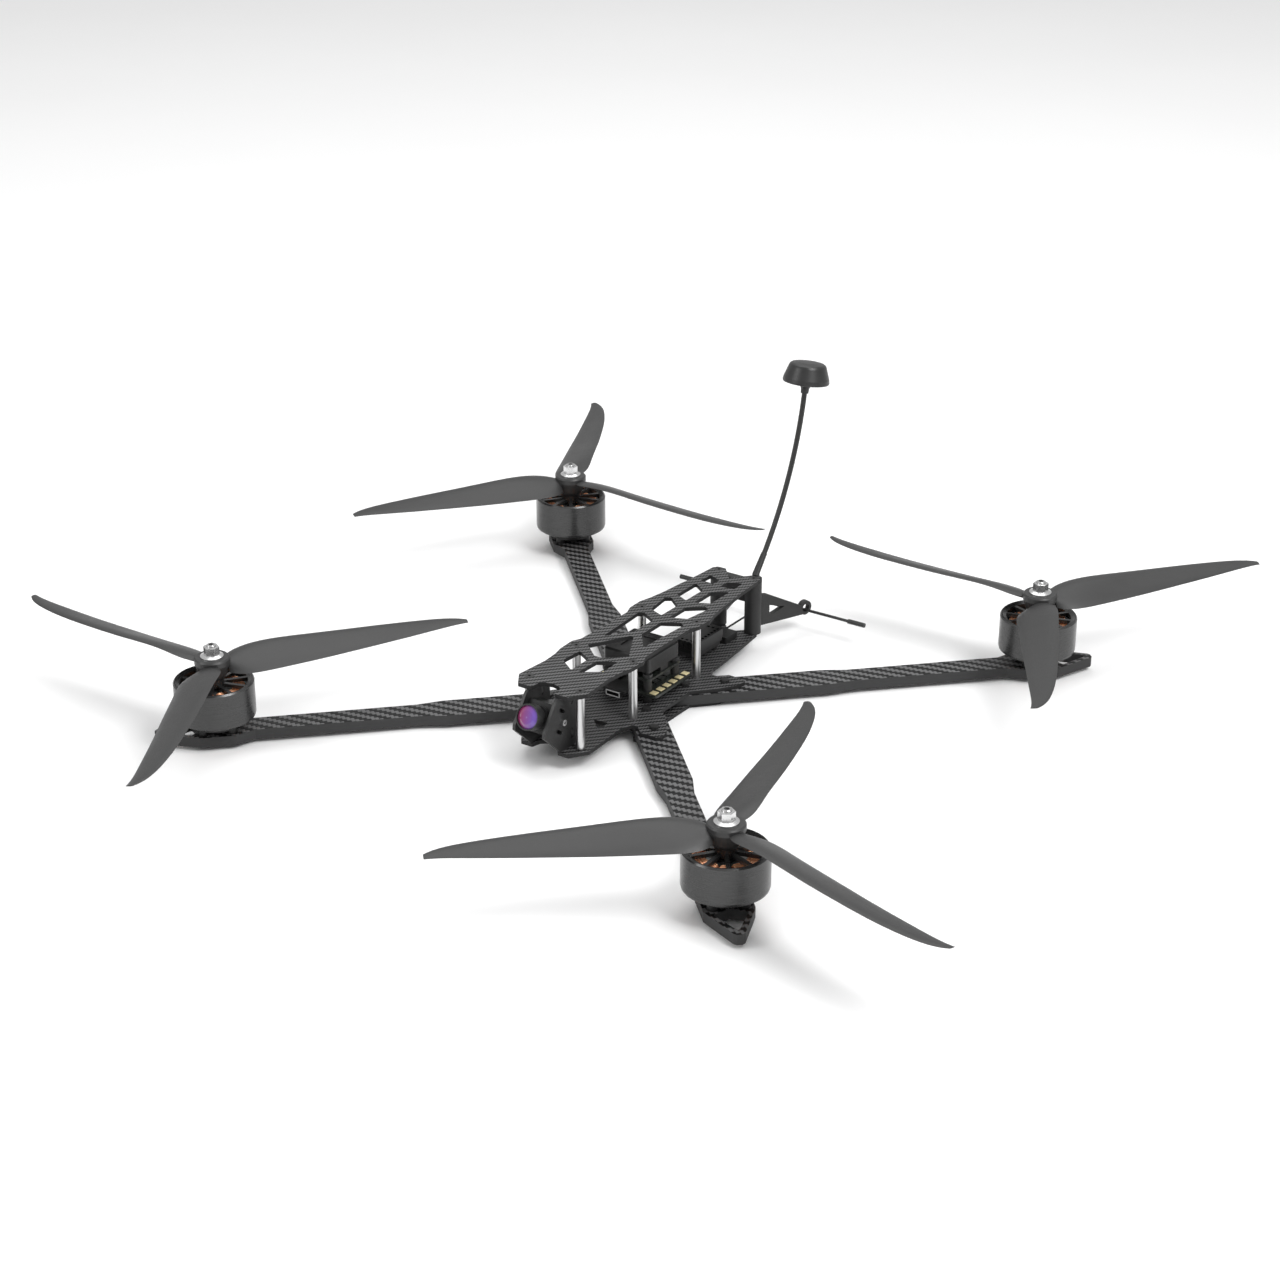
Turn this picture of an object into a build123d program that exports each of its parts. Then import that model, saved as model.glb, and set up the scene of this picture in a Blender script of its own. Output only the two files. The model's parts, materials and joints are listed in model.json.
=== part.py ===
from build123d import *
import math
import os

os.makedirs("parts", exist_ok=True)

# Quadcopter drone with an X frame. Millimetres, +X to the nose, +Y to the drone's left, +Z up.
# The origin is the centre of the bottom plate's lower face.

# ---- driving dimensions -------------------------------------------------------------------
wheelbase = 530.0          # motor to motor across the diagonal
arm_spread = 44.8          # degrees between the nose and a front arm
plate_thickness = 2.5
arm_thickness = 6.5
standoff_height = 36.5
propeller_radius = 165.1   # 13 inch propeller
bell_radius = 24.9
shaft_radius = 2.5
stud_radius = 3.0          # threaded end of the shaft, above the bell
camera_tilt = 22.0         # degrees, nose up
stack_pitch = 30.5         # square hole pattern of the electronics stack
stack_x = -4.4
motor_pcd = 25.0
running_gap = 0.05
m3 = 1.5                   # radius of an M3 thread
m3_hole = 1.6
countersink_radius = 3.0
countersink_depth = 1.5

# ---- heights of the layers ----------------------------------------------------------------
arm_bottom = plate_thickness
arm_top = arm_bottom + arm_thickness
deck = arm_top + plate_thickness            # upper face of the mid plate
roof = deck + standoff_height               # lower face of the top plate
roof_top = roof + plate_thickness
motor_distance = wheelbase / 2
motor_places = {
    "front_left": arm_spread,
    "rear_left": 180.0 - arm_spread,
    "rear_right": 180.0 + arm_spread,
    "front_right": 360.0 - arm_spread,
}


def mirrored(points):
    """The points and their mirror image across the XZ plane, as one closed outline."""
    return points + [(x, -y) for x, y in reversed(points) if abs(y) > 1e-6]


def flipped(points):
    """The mirror image of an outline across the XZ plane."""
    return [(x, -y) for x, y in reversed(points)]


def turned(points, angle):
    """Points given as (along, across) an axis at this angle."""
    c = math.cos(math.radians(angle))
    s = math.sin(math.radians(angle))
    return [(x * c - y * s, x * s + y * c) for x, y in points]


# ---- fixing positions ---------------------------------------------------------------------
motor_centres = [turned([(motor_distance, 0.0)], a)[0] for a in motor_places.values()]
standoff_places = [(88.8, 19.0), (36.2, 21.5), (-36.0, 21.0), (-116.0, 13.5)]
standoff_places += [(x, -y) for x, y in standoff_places]
stack_places = [
    (stack_x + i * stack_pitch / 2, j * stack_pitch / 2) for i in (-1, 1) for j in (-1, 1)
]
arm_bolt_spots = [(31.0, 0.0), (57.0, 0.0)]     # along each arm, from the centre
arm_bolt_places = []
for arm_angle in motor_places.values():
    arm_bolt_places += turned(arm_bolt_spots, arm_angle)

# ---- frame plates -------------------------------------------------------------------------
arm_tab = [(52.3, 23.6), (44.0, 27.0), (44.7, 31.0), (50.6, 36.9), (50.3, 43.0), (50.6, 48.0),
           (48.0, 50.6), (41.0, 49.9), (28.2, 41.0), (16.0, 29.5)]
rear_tab = [(-x, y) for x, y in reversed(arm_tab)]
mid_outline = [(90.0, 0.0), (91.0, 5.0), (94.0, 8.0), (99.9, 9.4), (99.9, 17.8), (88.6, 25.3)]
mid_outline += arm_tab + rear_tab
mid_outline += [(-64.8, 22.5), (-90.7, 20.0), (-116.2, 17.1), (-119.5, 11.0), (-108.0, 0.0)]
clamp_tab = [(44.0, 27.0), (44.2, 36.0), (48.6, 41.4), (41.4, 48.6), (36.0, 44.2),
             (28.2, 41.0), (16.0, 29.5)]
bottom_outline = [(32.0, 0.0), (32.0, 19.5)] + clamp_tab
bottom_outline += [(-x, y) for x, y in reversed(clamp_tab)]
bottom_outline += [(-32.0, 19.5), (-32.0, 0.0)]
nose_window = [(51.5, 2.2), (50.5, 12.6), (62.3, 13.4)]

with BuildPart() as bottom_plate:
    with BuildSketch() as bottom_sketch:
        with BuildLine():
            Polyline(*mirrored(bottom_outline), close=True)
        make_face()
        corners = bottom_sketch.vertices().filter_by(lambda v: abs(v.Y) > 1)
        fillet(corners, 1.2)
    extrude(amount=plate_thickness)
    with Locations(Plane.XY.rotated((180, 0, 0))):
        with Locations(*[(x, -y) for x, y in arm_bolt_places]):
            CounterSinkHole(m3_hole, countersink_radius + 0.1)
bottom_plate.part.label = "bottom_plate"
export_step(bottom_plate.part, "parts/bottom_plate.step")

with BuildPart() as mid_plate:
    with BuildSketch(Plane.XY.offset(arm_top)) as mid_sketch:
        with BuildLine():
            Polyline(*mirrored(mid_outline), close=True)
        make_face()
        fillet(mid_sketch.vertices().filter_by(lambda v: abs(v.Y) > 1), 1.2)
        for outline in (nose_window, flipped(nose_window)):
            with BuildSketch(mode=Mode.SUBTRACT) as opening:
                with BuildLine():
                    Polyline(*outline, close=True)
                make_face()
                fillet(opening.vertices(), 0.8)
        with Locations(*(arm_bolt_places + stack_places)):
            Circle(m3_hole, mode=Mode.SUBTRACT)
    extrude(amount=plate_thickness)
    with Locations(Plane.XY.offset(arm_top).rotated((180, 0, 0))):
        with Locations(*[(x, -y) for x, y in standoff_places]):
            CounterSinkHole(m3_hole, countersink_radius + 0.1)
mid_plate.part.label = "mid_plate"
export_step(mid_plate.part, "parts/mid_plate.step")

top_outline = [(90.0, 0.0), (91.5, 5.5), (94.0, 8.0), (100.9, 8.6), (100.9, 18.6), (90.5, 25.5),
               (66.0, 23.7), (54.4, 24.6), (45.7, 26.6), (33.0, 27.2), (27.0, 24.4), (7.0, 23.7),
               (-23.0, 23.8), (-30.5, 26.6), (-42.2, 26.8), (-50.5, 24.7), (-64.8, 22.5),
               (-80.7, 21.3), (-90.7, 20.0), (-116.0, 18.6), (-119.0, 16.5), (-119.5, 10.5),
               (-107.0, 0.0)]
top_windows = [
    [(68.0, 2.6), (59.0, 15.2), (42.5, 14.3), (49.0, 3.1)],
    [(0.0, 3.3), (16.0, 15.2), (-26.0, 17.6), (-28.5, 14.0), (-22.0, 3.0)],
    [(-31.5, 3.0), (-36.0, 14.0), (-56.0, 16.7), (-58.5, 13.3), (-50.0, 3.0)],
    [(-60.0, 3.0), (-65.0, 13.0), (-87.3, 13.1), (-80.0, 3.0)],
]
kite_window = [(43.0, 3.0), (32.0, 15.5), (6.0, 1.2)]
rear_window = [(-91.5, 3.0), (-93.0, 13.0), (-104.0, 12.5), (-100.0, 3.0)]

with BuildPart() as top_plate:
    with BuildSketch(Plane.XY.offset(roof)) as top_sketch:
        with BuildLine():
            Polyline(*mirrored(top_outline), close=True)
        make_face()
        fillet(top_sketch.vertices().filter_by(lambda v: abs(v.Y) > 1), 0.9)
        outlines = [mirrored(kite_window)]
        for window in top_windows + [rear_window]:
            outlines += [window, flipped(window)]
        for outline in outlines:
            with BuildSketch(mode=Mode.SUBTRACT) as opening:
                with BuildLine():
                    Polyline(*outline, close=True)
                make_face()
                fillet(opening.vertices(), 0.8)
    extrude(amount=plate_thickness)
    with Locations(Plane.XY.offset(roof_top)):
        with Locations(*standoff_places):
            CounterSinkHole(m3_hole, countersink_radius + 0.1)
top_plate.part.label = "top_plate"
export_step(top_plate.part, "parts/top_plate.step")

# ---- arms ---------------------------------------------------------------------------------
arm_side = [(12.5, 11.0), (123.0, 11.0), (140.0, 8.4), (242.0, 8.4), (249.5, 12.2),
            (254.0, 14.6), (276.0, 14.6), (280.0, 13.0), (301.5, 3.4), (303.0, 1.6)]
arm_window = [(275.5, 0.0), (280.5, 9.8), (298.0, 0.8)]

for place, arm_angle in motor_places.items():
    with BuildPart() as arm:
        with BuildSketch(Plane.XY.offset(arm_bottom)) as arm_sketch:
            with BuildLine():
                Polyline(*turned(mirrored(arm_side), arm_angle), close=True)
            make_face()
            fillet(arm_sketch.vertices(), 1.0)
            with BuildSketch(mode=Mode.SUBTRACT) as opening:
                with BuildLine():
                    Polyline(*turned(mirrored(arm_window), arm_angle), close=True)
                make_face()
                fillet(opening.vertices(), 0.6)
            with Locations(*turned(arm_bolt_spots, arm_angle)):
                Circle(m3_hole, mode=Mode.SUBTRACT)
            with Locations(*turned([(motor_distance, 0.0)], arm_angle)):
                Circle(4.5, mode=Mode.SUBTRACT)
                with PolarLocations(motor_pcd / 2, 4, start_angle=arm_angle + 45):
                    Circle(m3_hole, mode=Mode.SUBTRACT)
        extrude(amount=arm_thickness)
    arm.part.label = f"arm_{place}"
    export_step(arm.part, f"parts/arm_{place}.step")

# ---- fasteners of the frame ---------------------------------------------------------------
with BuildPart() as arm_bolts:
    # Countersunk bolts from below, each with a nut on the mid plate.
    with Locations(*arm_bolt_places):
        Cylinder(m3, deck + 1.6, align=(Align.CENTER, Align.CENTER, Align.MIN))
        Cone(countersink_radius, m3, countersink_depth,
             align=(Align.CENTER, Align.CENTER, Align.MIN))
    with BuildSketch(Plane.XY.offset(deck)) as nut_sketch:
        with Locations(*arm_bolt_places):
            RegularPolygon(3.0, 6)
    extrude(amount=1.9)
    with BuildSketch() as bolt_sockets:
        with Locations(*arm_bolt_places):
            RegularPolygon(1.1, 6)
    extrude(amount=1.2, mode=Mode.SUBTRACT)
arm_bolts.part.label = "arm_bolts"
export_step(arm_bolts.part, "parts/arm_bolts.step")

with BuildPart() as standoffs:
    with BuildSketch(Plane.XY.offset(deck)):
        with Locations(*standoff_places):
            Circle(2.75)
            Circle(m3, mode=Mode.SUBTRACT)
    extrude(amount=standoff_height)
    chamfer(standoffs.edges().filter_by(GeomType.CIRCLE).filter_by(
        lambda e: abs(e.radius - 2.75) < 0.01), 0.25)
standoffs.part.label = "standoffs"
export_step(standoffs.part, "parts/standoffs.step")

with BuildPart() as standoff_screws:
    with Locations(*[(x, y, roof_top) for x, y in standoff_places]):
        Cylinder(m3 - running_gap, 8.0, align=(Align.CENTER, Align.CENTER, Align.MAX))
        Cone(m3, countersink_radius, countersink_depth,
             align=(Align.CENTER, Align.CENTER, Align.MAX))
    with Locations(*[(x, y, arm_top) for x, y in standoff_places]):
        Cylinder(m3 - running_gap, 8.0, align=(Align.CENTER, Align.CENTER, Align.MIN))
        Cone(countersink_radius, m3, countersink_depth,
             align=(Align.CENTER, Align.CENTER, Align.MIN))
    with BuildSketch(Plane.XY.offset(roof_top)):
        with Locations(*standoff_places):
            RegularPolygon(1.1, 6)
    extrude(amount=-1.2, mode=Mode.SUBTRACT)
standoff_screws.part.label = "standoff_screws"
export_step(standoff_screws.part, "parts/standoff_screws.step")

# ---- motors -------------------------------------------------------------------------------
base_top = arm_top + 7.0
tube_radius = 7.0
bearing_radius = 5.0
stator_bottom = arm_top + 12.8
stator_top = stator_bottom + 14.0
bell_bottom = arm_top + 8.2
bell_floor = stator_top + 2.2       # underside of the bell's spokes
bell_top = arm_top + 32.6
bell_inner = 22.3
hub_seat = bell_top + 1.4           # upper face of the bell's boss, where the propeller sits
nut_seat = roof_top + 6.5           # upper face of the propeller's hub
stud_top = nut_seat + 8.2
tooth_count = 12
spoke_count = 10

for place, arm_angle in motor_places.items():
    centre_x, centre_y = turned([(motor_distance, 0.0)], arm_angle)[0]
    axis_plane = Plane((centre_x, centre_y, 0))
    upright = Plane((centre_x, centre_y, 0), x_dir=(1, 0, 0), z_dir=(0, -1, 0))

    with BuildPart() as motor_base:
        with BuildSketch(axis_plane.offset(arm_top)) as feet:
            with PolarLocations(motor_pcd / 2, 4, start_angle=arm_angle + 45):
                Circle(3.4)
            Circle(8.5)
        extrude(amount=4.0)
        with BuildSketch(axis_plane.offset(arm_top + 3.4)):
            Circle(15.6)
        extrude(amount=base_top - arm_top - 3.4)
        chamfer(motor_base.edges().filter_by(GeomType.CIRCLE).sort_by(Axis.Z)[-1], 0.8)
        with BuildSketch(axis_plane.offset(base_top - 1)):
            Circle(tube_radius)
        extrude(amount=bell_floor - 1.2 - base_top + 1)
        with BuildSketch(axis_plane.offset(arm_top)):
            Circle(bearing_radius)
        extrude(amount=40, mode=Mode.SUBTRACT)
        with BuildSketch(axis_plane.offset(arm_top)):
            with PolarLocations(motor_pcd / 2, 4, start_angle=arm_angle + 45):
                Circle(m3)
        extrude(amount=5.5, mode=Mode.SUBTRACT)
    motor_base.part.label = f"motor_base_{place}"
    export_step(motor_base.part, f"parts/motor_base_{place}.step")

    with BuildPart() as stator:
        with BuildSketch(axis_plane.offset(stator_bottom)):
            Circle(11.0)
            with PolarLocations(15.2, tooth_count):
                Rectangle(9.2, 3.6)
            with BuildSketch():
                Circle(21.4)
                Circle(19.6, mode=Mode.SUBTRACT)
                with PolarLocations(20.5, tooth_count, start_angle=180 / tooth_count):
                    Rectangle(4.0, 2.0, mode=Mode.SUBTRACT)
            Circle(tube_radius, mode=Mode.SUBTRACT)
        extrude(amount=stator_top - stator_bottom)
    stator.part.label = f"stator_{place}"
    export_step(stator.part, f"parts/stator_{place}.step")

    with BuildPart() as windings:
        half = math.tan(math.pi / tooth_count)
        coil = [(11.6, 11.6 * half - 0.25), (18.8, 18.8 * half - 0.25),
                (18.8, 0.25 - 18.8 * half), (11.6, 0.25 - 11.6 * half)]
        with BuildSketch(axis_plane.offset(stator_bottom - 1.8)):
            for k in range(tooth_count):
                with BuildLine():
                    Polyline(*turned(coil, 360 / tooth_count * k), close=True)
                make_face()
        extrude(amount=stator_top - stator_bottom + 3.6)
        fillet(windings.edges().filter_by(Axis.Z, reverse=True), 0.9)
        with BuildSketch(axis_plane.offset(stator_bottom)):
            with PolarLocations(15.4, tooth_count):
                Rectangle(9.6, 3.6)
        extrude(amount=stator_top - stator_bottom, mode=Mode.SUBTRACT)
    windings.part.label = f"windings_{place}"
    export_step(windings.part, f"parts/windings_{place}.step")

    with BuildPart() as bell:
        with BuildSketch(upright):
            with BuildLine():
                Polyline((bell_inner, bell_bottom), (bell_radius - 1.6, bell_bottom),
                         (bell_radius - 0.4, bell_bottom + 0.9), (bell_radius, bell_bottom + 2.4),
                         (bell_radius, bell_top - 1.0), (bell_radius - 0.8, bell_top),
                         (bell_radius - 1.6, bell_top), (bell_inner - 1.4, bell_floor + 2.2),
                         (bell_inner - 1.4, bell_floor), (bell_inner, bell_floor),
                         close=True)
            make_face()
        revolve(axis=Axis((centre_x, centre_y, 0), (0, 0, 1)))
        with BuildSketch(axis_plane.offset(bell_floor)):
            Circle(6.6)
        extrude(amount=hub_seat - bell_floor)
        with BuildSketch(axis_plane.offset(bell_floor)):
            with PolarLocations(13.6, spoke_count):
                Rectangle(15.4, 2.4)
        extrude(amount=2.2)
        with BuildSketch(axis_plane.offset(bell_floor - 1)):
            Circle(shaft_radius)
        extrude(amount=20, mode=Mode.SUBTRACT)
    bell.part.label = f"bell_{place}"
    export_step(bell.part, f"parts/bell_{place}.step")

    with BuildPart() as shaft:
        with BuildSketch(axis_plane.offset(arm_top + 1.0)):
            Circle(shaft_radius)
        extrude(amount=hub_seat - arm_top - 1.0)
        with BuildSketch(axis_plane.offset(hub_seat)):
            Circle(stud_radius)
        extrude(amount=stud_top - hub_seat)
        chamfer(shaft.edges().filter_by(GeomType.CIRCLE).sort_by(Axis.Z)[-1], 0.5)
        with BuildSketch(axis_plane.offset(stud_top)):
            RegularPolygon(1.7, 6)
        extrude(amount=-3.0, mode=Mode.SUBTRACT)
    shaft.part.label = f"shaft_{place}"
    export_step(shaft.part, f"parts/shaft_{place}.step")

    with BuildPart() as prop_nut:
        with BuildSketch(upright):
            with BuildLine():
                Polyline((stud_radius + running_gap, nut_seat), (7.15, nut_seat),
                         (7.15, nut_seat + 0.8), (5.0, nut_seat + 1.9),
                         (stud_radius + running_gap, nut_seat + 1.9), close=True)
            make_face()
        revolve(axis=Axis((centre_x, centre_y, 0), (0, 0, 1)))
        with BuildSketch(axis_plane.offset(nut_seat + 1.0)):
            RegularPolygon(5.0, 6)
            Circle(stud_radius + running_gap, mode=Mode.SUBTRACT)
        extrude(amount=6.2)
        chamfer(prop_nut.edges().group_by(Axis.Z)[-1].filter_by(GeomType.LINE), 0.5)
    prop_nut.part.label = f"prop_nut_{place}"
    export_step(prop_nut.part, f"parts/prop_nut_{place}.step")

with BuildPart() as motor_bearings:
    for z_level in (arm_top + 3.2, bell_floor - 5.2):
        with BuildSketch(Plane.XY.offset(z_level)):
            with Locations(*motor_centres):
                Circle(bearing_radius)
                Circle(shaft_radius + 0.03, mode=Mode.SUBTRACT)
        extrude(amount=4.0)
motor_bearings.part.label = "motor_bearings"
export_step(motor_bearings.part, "parts/motor_bearings.step")

with BuildPart() as motor_screws:
    # Button-head screws from below, through the arm and up into the motor's feet.
    screw_places = []
    for arm_angle in motor_places.values():
        around = [(motor_distance, 0.0)]
        for k in range(4):
            turn = math.radians(45 + 90 * k)
            around.append((motor_distance + motor_pcd / 2 * math.cos(turn),
                           motor_pcd / 2 * math.sin(turn)))
        screw_places += turned(around[1:], arm_angle)
    with Locations(*[(x, y, arm_bottom) for x, y in screw_places]):
        Cylinder(m3 - running_gap, arm_thickness + 5.0,
                 align=(Align.CENTER, Align.CENTER, Align.MIN))
        Cylinder(2.75, 1.6, align=(Align.CENTER, Align.CENTER, Align.MAX))
    fillet(motor_screws.edges().group_by(Axis.Z)[0], 0.8)
    with BuildSketch(Plane.XY.offset(arm_bottom - 1.6)):
        with Locations(*screw_places):
            RegularPolygon(1.15, 6)
    extrude(amount=1.2, mode=Mode.SUBTRACT)
motor_screws.part.label = "motor_screws"
export_step(motor_screws.part, "parts/motor_screws.step")

# ---- propellers ---------------------------------------------------------------------------
# Each row is one section of a blade: its distance from the axis, how far the leading and the
# trailing edge lie ahead of and behind the blade's line, their heights below the stud's top,
# and the section's thickness.
blade_sections = [
    (9.0, 6.0, -7.5, -11.5, -17.5, 4.4),
    (22.0, 11.1, -14.0, -9.2, -17.3, 3.6),
    (40.0, 11.9, -13.3, -8.0, -17.2, 3.0),
    (60.0, 12.3, -11.6, -8.8, -16.9, 2.5),
    (85.0, 12.3, -9.3, -10.0, -16.2, 2.1),
    (110.0, 11.8, -6.9, -10.9, -15.3, 1.8),
    (135.0, 10.0, -4.8, -11.5, -14.1, 1.5),
    (155.0, 6.0, -3.4, -11.7, -12.9, 1.2),
    (164.6, 0.6, -3.9, -11.7, -12.3, 0.8),
]
blade_angles = {"front_left": 75.1, "rear_left": 25.9, "rear_right": 88.8, "front_right": 27.1}
spin_sense = {"front_left": -1, "rear_left": 1, "rear_right": -1, "front_right": 1}

for place, arm_angle in motor_places.items():
    centre_x, centre_y = turned([(motor_distance, 0.0)], arm_angle)[0]
    upright = Plane((centre_x, centre_y, 0), x_dir=(1, 0, 0), z_dir=(0, -1, 0))
    axis_plane = Plane((centre_x, centre_y, 0))
    sense = spin_sense[place]
    with BuildPart() as propeller:
        for k in range(3):
            angle = math.radians(blade_angles[place] + 120 * k)
            out = Vector(math.cos(angle), math.sin(angle), 0)
            ahead = Vector(-math.sin(angle), math.cos(angle), 0) * sense
            for distance, lead, trail, lead_z, trail_z, thick in blade_sections:
                middle = ahead * (lead + trail) / 2 + Vector(0, 0, (lead_z + trail_z) / 2)
                origin = Vector(centre_x, centre_y, stud_top) + out * distance + middle
                chord_line = ahead * (lead - trail) + Vector(0, 0, lead_z - trail_z)
                half_chord = chord_line.length / 2
                with BuildSketch(Plane(origin, x_dir=chord_line, z_dir=out * sense)):
                    with BuildLine():
                        Spline((-half_chord, 0), (-half_chord * 0.1, thick * 0.72),
                               (half_chord, 0), tangents=[(1, 0.45), (1, -0.8)])
                        Spline((-half_chord, 0), (0, -thick * 0.28), (half_chord, 0),
                               tangents=[(1, -0.12), (1, 0.3)])
                    make_face()
            loft()
        with BuildSketch(upright):
            with BuildLine():
                Polyline((0, hub_seat), (6.8, hub_seat), (8.6, hub_seat + 2.5),
                         (11.0, nut_seat - 4.0), (11.0, nut_seat - 1.0), (10.2, nut_seat),
                         (0, nut_seat), close=True)
            make_face()
        revolve(axis=Axis((centre_x, centre_y, 0), (0, 0, 1)))
        with BuildSketch(axis_plane.offset(hub_seat)):
            Circle(stud_radius + running_gap)
        extrude(amount=30, mode=Mode.SUBTRACT)
    propeller.part.label = f"propeller_{place}"
    export_step(propeller.part, f"parts/propeller_{place}.step")

# ---- camera -------------------------------------------------------------------------------
cage_inner = 10.0
cage_thickness = 2.0
pivot_x = 97.5
pivot_z = 31.0
cage_outline = [(80.0, deck), (99.5, deck), (116.0, 26.8), (115.6, 30.2), (104.0, 46.5),
                (102.2, roof), (80.0, roof)]

for side, y_sign in (("left", 1), ("right", -1)):
    with BuildPart() as camera_plate:
        near = cage_inner if y_sign > 0 else cage_inner + cage_thickness
        with BuildSketch(Plane.XZ.offset(-y_sign * near)) as cage_sketch:
            with BuildLine():
                Polyline(*cage_outline, close=True)
            make_face()
            fillet(cage_sketch.vertices().filter_by(lambda v: v.X > 100), 1.0)
            with Locations((pivot_x, pivot_z)):
                Circle(1.15, mode=Mode.SUBTRACT)
            with Locations(Location((pivot_x + 0.5, pivot_z + 7.6, 0), (0, 0, 36)),
                           Location((pivot_x + 3.5, pivot_z - 5.4, 0), (0, 0, 36)),
                           Location((pivot_x - 10.0, pivot_z - 11.0, 0), (0, 0, 90)),
                           Location((pivot_x - 10.0, pivot_z + 11.6, 0), (0, 0, 90))):
                SlotOverall(6.6, 2.4, mode=Mode.SUBTRACT)
        extrude(amount=-cage_thickness * (1 if y_sign > 0 else -1) * y_sign)
    camera_plate.part.label = f"camera_plate_{side}"
    export_step(camera_plate.part, f"parts/camera_plate_{side}.step")

camera_plane = Plane((pivot_x, 0, pivot_z), x_dir=(0, 1, 0), z_dir=(
    math.cos(math.radians(camera_tilt)), 0, math.sin(math.radians(camera_tilt))))

with BuildPart() as camera_body:
    with BuildSketch(camera_plane.offset(-10.0)):
        RectangleRounded(19.2, 19.2, 1.2)
    extrude(amount=18.0)
    with BuildSketch(camera_plane.offset(8.0)):
        Circle(7.6)
    extrude(amount=2.4)
    with BuildSketch(Plane.XZ):
        with Locations((pivot_x, pivot_z)):
            Circle(1.0)
    extrude(amount=20, both=True, mode=Mode.SUBTRACT)
camera_body.part.label = "camera_body"
export_step(camera_body.part, "parts/camera_body.step")

with BuildPart() as camera_lens:
    with BuildSketch(camera_plane.offset(10.4)):
        Circle(6.2)
    extrude(amount=4.6)
    with BuildSketch(camera_plane.offset(15.0)):
        Circle(8.2)
    extrude(amount=6.0)
    with BuildSketch(camera_plane.offset(19.2)):
        Circle(7.4)
    extrude(amount=2.0, mode=Mode.SUBTRACT)
camera_lens.part.label = "camera_lens"
export_step(camera_lens.part, "parts/camera_lens.step")

with BuildPart() as camera_glass:
    with BuildSketch(camera_plane.offset(19.2)):
        Circle(7.4)
    extrude(amount=0.8)
    with BuildSketch(camera_plane.offset(20.0)):
        Circle(7.2)
    extrude(amount=1.6, taper=62)
camera_glass.part.label = "camera_glass"
export_step(camera_glass.part, "parts/camera_glass.step")

with BuildPart() as camera_screws:
    # The two pivot screws. They turn with the camera, clear of the cage.
    for y_sign in (1, -1):
        with BuildSketch(Plane.XZ.offset(-y_sign * 6.0)):
            with Locations((pivot_x, pivot_z)):
                Circle(1.0)
        extrude(amount=-y_sign * 6.4)
        with BuildSketch(Plane.XZ.offset(-y_sign * 12.3)):
            with Locations((pivot_x, pivot_z)):
                Circle(2.0)
        extrude(amount=-y_sign * 1.5)
        with BuildSketch(Plane.XZ.offset(-y_sign * 13.8)):
            with Locations((pivot_x, pivot_z)):
                RegularPolygon(0.9, 6)
        extrude(amount=y_sign * 0.9, mode=Mode.SUBTRACT)
camera_screws.part.label = "camera_screws"
export_step(camera_screws.part, "parts/camera_screws.step")

# ---- electronics stack --------------------------------------------------------------------
esc_bottom = deck + 6.0
fc_bottom = esc_bottom + 9.0
board = 1.6

with BuildPart() as esc_board:
    with BuildSketch(Plane.XY.offset(esc_bottom)):
        with Locations((stack_x, 0)):
            RectangleRounded(42.0, 50.0, 3.0)
        with Locations(*stack_places):
            Circle(2.0, mode=Mode.SUBTRACT)
    extrude(amount=board)
    with BuildSketch(Plane.XY.offset(esc_bottom + board)):
        with Locations((stack_x, 0)):
            with GridLocations(6.2, 24.0, 4, 2):
                Rectangle(5.0, 6.0)
    extrude(amount=1.1)
esc_board.part.label = "esc_board"
export_step(esc_board.part, "parts/esc_board.step")

with BuildPart() as flight_controller:
    with BuildSketch(Plane.XY.offset(fc_bottom)):
        with Locations((stack_x, 0)):
            RectangleRounded(37.0, 37.0, 3.0)
        with Locations(*stack_places):
            Circle(2.0, mode=Mode.SUBTRACT)
    extrude(amount=board)
    with BuildSketch(Plane.XY.offset(fc_bottom + board)):
        with Locations((stack_x, 0)):
            Rectangle(8.0, 8.0)
        with Locations((stack_x + 11, 3), (stack_x - 10, -5)):
            Rectangle(3.2, 4.4)
        with Locations((stack_x - 1, 11)):
            Rectangle(6.0, 3.0)
    extrude(amount=1.2)
flight_controller.part.label = "flight_controller"
export_step(flight_controller.part, "parts/flight_controller.step")

with BuildPart() as stack_spacers:
    # Rubber grommets in the boards and the posts between them, one above the other.
    for low, high, radius in ((deck, esc_bottom, 3.0), (esc_bottom + board, fc_bottom, 2.7)):
        with BuildSketch(Plane.XY.offset(low)):
            with Locations(*stack_places):
                Circle(radius)
                Circle(m3, mode=Mode.SUBTRACT)
        extrude(amount=high - low)
stack_spacers.part.label = "stack_spacers"
export_step(stack_spacers.part, "parts/stack_spacers.step")

with BuildPart() as stack_screws:
    with Locations(*[(x, y, arm_top) for x, y in stack_places]):
        Cylinder(m3 - running_gap, fc_bottom + board + 3.2 - arm_top,
                 align=(Align.CENTER, Align.CENTER, Align.MIN))
    with BuildSketch(Plane.XY.offset(fc_bottom + board)):
        with Locations(*stack_places):
            RegularPolygon(3.1, 6)
    extrude(amount=2.4)
stack_screws.part.label = "stack_screws"
export_step(stack_screws.part, "parts/stack_screws.step")

cover_bottom = fc_bottom + board + 3.5
cover_top = 42.0

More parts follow.
